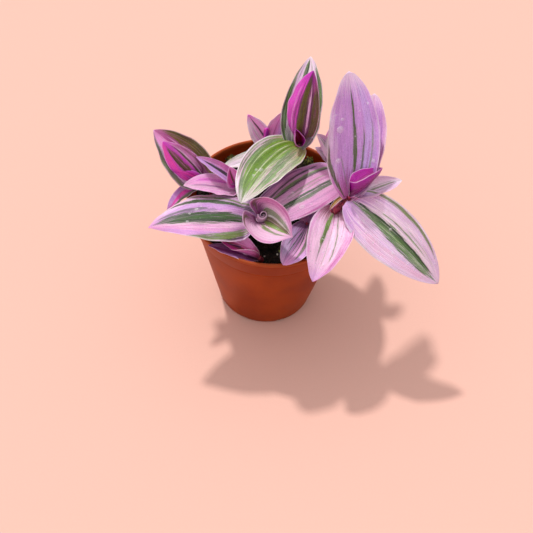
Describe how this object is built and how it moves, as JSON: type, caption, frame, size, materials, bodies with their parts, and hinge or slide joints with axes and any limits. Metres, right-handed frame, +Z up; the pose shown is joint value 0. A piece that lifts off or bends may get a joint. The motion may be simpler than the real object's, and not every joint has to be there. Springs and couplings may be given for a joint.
{
  "type": "potted tradescantia",
  "caption": "Small trailing houseplant with striped pink and lilac leaves, growing in soil in a round tapered plastic pot with drain holes.",
  "frame": {"origin": "middle of the flat disc under the pot, on the surface that the pot stands on", "axes": "+Z up along the pot's axis, -Y towards the side that the picture is taken from, +X to the right seen from there"},
  "size_m": [0.1547, 0.1051, 0.1517],
  "materials": {
    "pot_plastic": "smooth terracotta-coloured plastic with a soft sheen",
    "potting_soil": "dark, moist and crumbly",
    "foliage": "satin leaves in pink and lilac with green stripes"
  },
  "bodies": {
    "root": {"pot": "pot_plastic", "soil": "potting_soil", "shoot_right": "foliage", "shoot_back": "foliage", "shoot_back_left": "foliage", "shoot_back_right": "foliage", "shoot_left": "foliage", "shoot_left_inner": "foliage", "shoot_centre": "foliage", "shoot_front_right": "foliage", "shoot_front_left": "foliage"}
  },
  "joints": []
}
